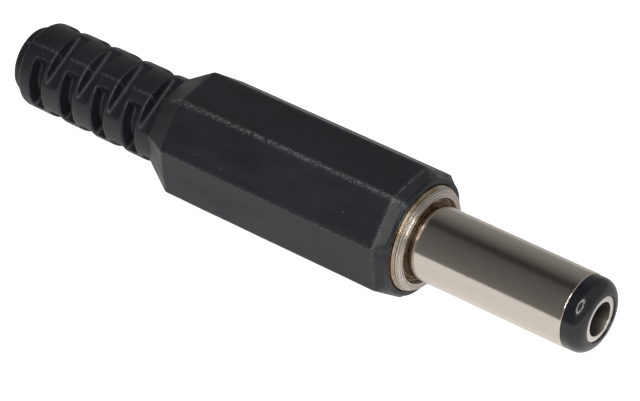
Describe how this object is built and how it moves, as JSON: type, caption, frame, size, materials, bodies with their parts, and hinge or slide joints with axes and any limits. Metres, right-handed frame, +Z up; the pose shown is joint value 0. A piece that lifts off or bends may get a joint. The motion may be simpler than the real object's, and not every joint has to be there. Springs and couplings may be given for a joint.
{
  "type": "dc barrel plug",
  "caption": "Straight DC power plug for a cable: plated barrel with a centre contact, octagonal screw-on cover and slotted strain relief.",
  "frame": {"origin": "on the long axis, at the collar's front face, where a jack stops the plug", "axes": "+X along the barrel towards its tip, +Z up with one flat of the octagonal cover facing -Z"},
  "size_m": [0.05, 0.0092, 0.0092],
  "materials": {
    "cover_plastic": "satin moulded black",
    "insulator_plastic": "glossy moulded black",
    "plated_brass": "bright nickel plate",
    "tinned_brass": "stamped, tinned",
    "washer_board": "brown laminate"
  },
  "bodies": {
    "front": {"threaded_collar": "plated_brass", "outer_sleeve": "plated_brass", "insulator": "insulator_plastic", "centre_contact": "plated_brass", "ground_lug": "tinned_brass", "rear_washer": "washer_board", "centre_terminal": "tinned_brass"},
    "cover": {"cover": "cover_plastic"}
  },
  "joints": [
    {"name": "cover_off", "type": "slide", "parent": "front", "child": "cover", "axis": [-1, 0, 0], "range_m": [0, 0.025]}
  ]
}
